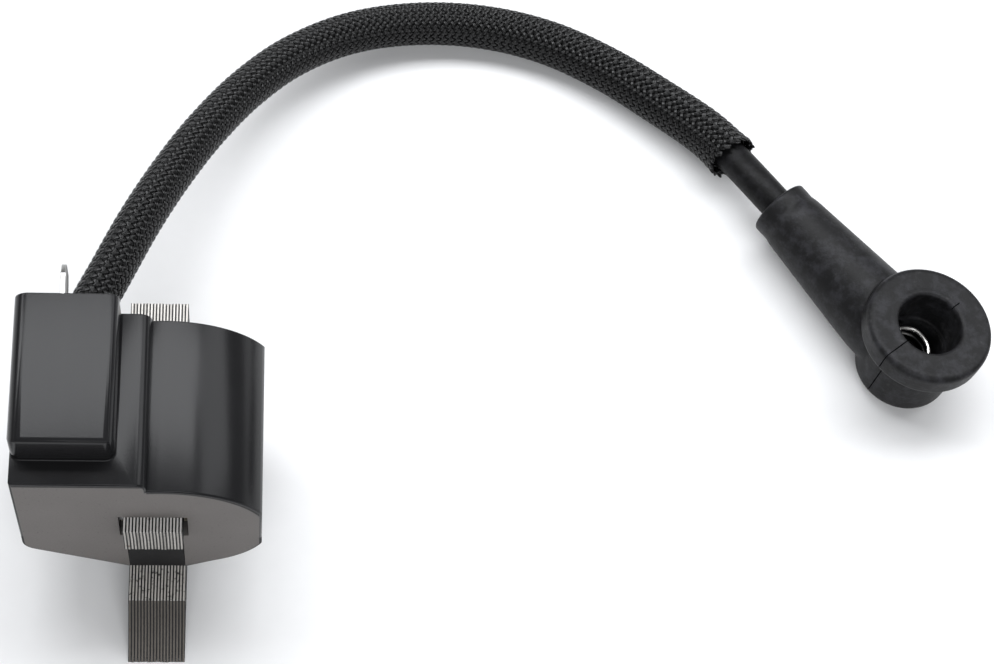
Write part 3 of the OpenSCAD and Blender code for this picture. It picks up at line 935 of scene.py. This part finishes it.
def braided_yarn():
    finish = Finish("braided_yarn")
    across = finish.node("ShaderNodeAttribute", {"attribute_name": "across"}, output="Fac")
    filaments = finish.maths("SINE", across * FILAMENT_WAVES)
    wear = finish.noise(700, 4, 0.6)
    colour = finish.mix(wear, grey(0.0015, 0, 0.04), grey(0.004, 0, 0.04))
    finish.bump(0.5 + 0.5 * filaments, 0.04)
    return finish.set(base_color=colour, roughness=0.2 + 0.12 * wear,
                      specular_IOR_level=0.28)


dress(braided_yarn(), yarns_right, yarns_left)

# %% [markdown]
# ## The hidden parts
# The windings, bobbins, board and parts inside the potting can't be seen, but the model
# can be taken apart, so each gets a finish of its own.

# %% Hidden parts
def plain_finish(name, dark, light, scale, rough, metallic=0.0, squeeze=(1, 1, 1)):
    finish = Finish(name)
    pattern = finish.noise(scale, 4, 0.6, finish.stretched(*squeeze))
    finish.bump(pattern, 0.03)
    return finish.set(base_color=finish.mix(pattern, dark, light), metallic=metallic,
                      roughness=rough + 0.15 * pattern)


def wound_wire(name, wires_per_metre):
    finish = Finish(name)
    lay = finish.maths("SINE", finish.part("Y") * (2 * math.pi * wires_per_metre))
    tone = finish.noise(400, 3)
    finish.bump(0.5 + 0.5 * lay, 0.1)
    return finish.set(base_color=finish.mix(tone, (0.3, 0.09, 0.03, 1), (0.6, 0.2, 0.07, 1)),
                      metallic=0.8, roughness=0.25 + 0.1 * tone)


dress(wound_wire("primary_wire", 1800), nodes["primary_winding"], nodes["coil_wires"])
dress(wound_wire("secondary_wire", 9000), nodes["secondary_winding"])
dress(plain_finish("bobbin_plastic", (0.5, 0.45, 0.36, 1), (0.62, 0.57, 0.46, 1), 600, 0.45),
      nodes["primary_bobbin"], nodes["secondary_bobbin"])
dress(plain_finish("board_laminate", (0.02, 0.1, 0.04, 1), (0.05, 0.2, 0.08, 1), 1500, 0.35,
                   squeeze=(1, 0.2, 1)), nodes["circuit_board"])
dress(plain_finish("component_black", grey(0.01), grey(0.03), 1800, 0.5),
      nodes["power_transistor"], nodes["driver_transistor"], nodes["diode"])
dress(plain_finish("capacitor_case", (0.5, 0.22, 0.02, 1), (0.7, 0.34, 0.05, 1), 500, 0.3),
      nodes["capacitor"])
dress(plain_finish("resistor_body", (0.45, 0.33, 0.2, 1), (0.66, 0.5, 0.32, 1), 900, 0.4,
                   squeeze=(0.2, 1, 0.2)), nodes["resistors"])
dress(plain_finish("ground_tin", grey(0.55), grey(0.75), 1500, 0.25, 1.0), nodes["ground_strip"])
dress(plain_finish("brass", (0.6, 0.38, 0.12, 1), (0.8, 0.56, 0.22, 1), 900, 0.25, 1.0),
      nodes["hv_contact"])
dress(plain_finish("lead_conductor", (0.5, 0.2, 0.08, 1), (0.8, 0.4, 0.2, 1), 3000, 0.3, 1.0,
                   squeeze=(1, 0.3, 1)), nodes["lead_conductor"])

# %% [markdown]
# ## What each piece stands for
# Each new piece rides on the body of the CAD node that it replaces. The table also lists
# the record's slot for each piece.

# %% Ride and replace
stands_for = [
    (housing, "coil", "housing", "housing_plastic"),
    (potting, "coil", "potting", "potting_resin"),
    (core, "coil", "core_laminations", "core_steel"),
    (rivets, "coil", "core_rivets", "rivet_steel"),
    (blade, "coil", "kill_terminal", "tinned_metal"),
    (lead, "coil", "hv_lead", "lead_insulation"),
    (yarns_right, "coil", "braided_sleeve", "braid"),
    (yarns_left, "coil", "braided_sleeve", "braid"),
    (boot, "cap", "boot", "cap_rubber"),
    (spring, "cap", "spring_terminal", "tinned_metal"),
]
for piece, body, node, slot in stands_for:
    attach(piece, body)
    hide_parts(node)

# %% [markdown]
# ## Floor and light
# A pale floor, a weak even surround, and four soft lamps: a large one high behind the
# coil, whose reflection lies on every upward face, and weaker ones in front, behind on
# the left and behind on the right.

# %% Floor
bpy.ops.object.select_all(action="DESELECT")
bpy.ops.mesh.primitive_plane_add(size=6, location=(0.05, 0.03, 0))
floor = bpy.context.active_object
floor.name = "floor"
settle(floor)
paper = Finish("paper")
fibres = paper.noise(300, 4)
dress(paper.set(base_color=paper.mix(fibres, grey(0.76), grey(0.79)), roughness=0.8), floor)


# %% Lamps
LAMP_TARGET = mm(50, 30, 0)
LAMP_DISTANCE = 0.9
LAMP_COLOUR = (0.96, 0.975, 1.0)


def lamp(name, azimuth, elevation, size, watts):
    """A soft lamp that looks at the part from a direction, in degrees."""
    a = math.radians(azimuth)
    e = math.radians(elevation)
    away = Vector((math.cos(a) * math.cos(e), math.sin(a) * math.cos(e), math.sin(e)))
    data = bpy.data.lights.new(name, "AREA")
    data.shape = "RECTANGLE"
    data.size = size[0]
    data.size_y = size[1]
    data.energy = watts
    data.color = LAMP_COLOUR
    made = bpy.data.objects.new(name, data)
    bpy.context.scene.collection.objects.link(made)
    made.location = LAMP_TARGET + LAMP_DISTANCE * away
    made.rotation_euler = away.to_track_quat("Z", "Y").to_euler()


lamp("lamp_behind", 92, 66, (0.95, 0.4), 9.6)
lamp("lamp_front", -85, 50, (0.7, 0.5), 3.8)
lamp("lamp_left", 150, 38, (0.2, 0.4), 2.0)
lamp("lamp_right", 28, 38, (0.5, 0.5), 2.8)

# %% Surround
SURROUND = 0.16
world = bpy.data.worlds.new("surround")
world.use_nodes = True
background = world.node_tree.nodes["Background"]
background.inputs["Color"].default_value = (1, 1, 1, 1)
background.inputs["Strength"].default_value = SURROUND
bpy.context.scene.world = world
bpy.context.scene.view_settings.view_transform = "Standard"
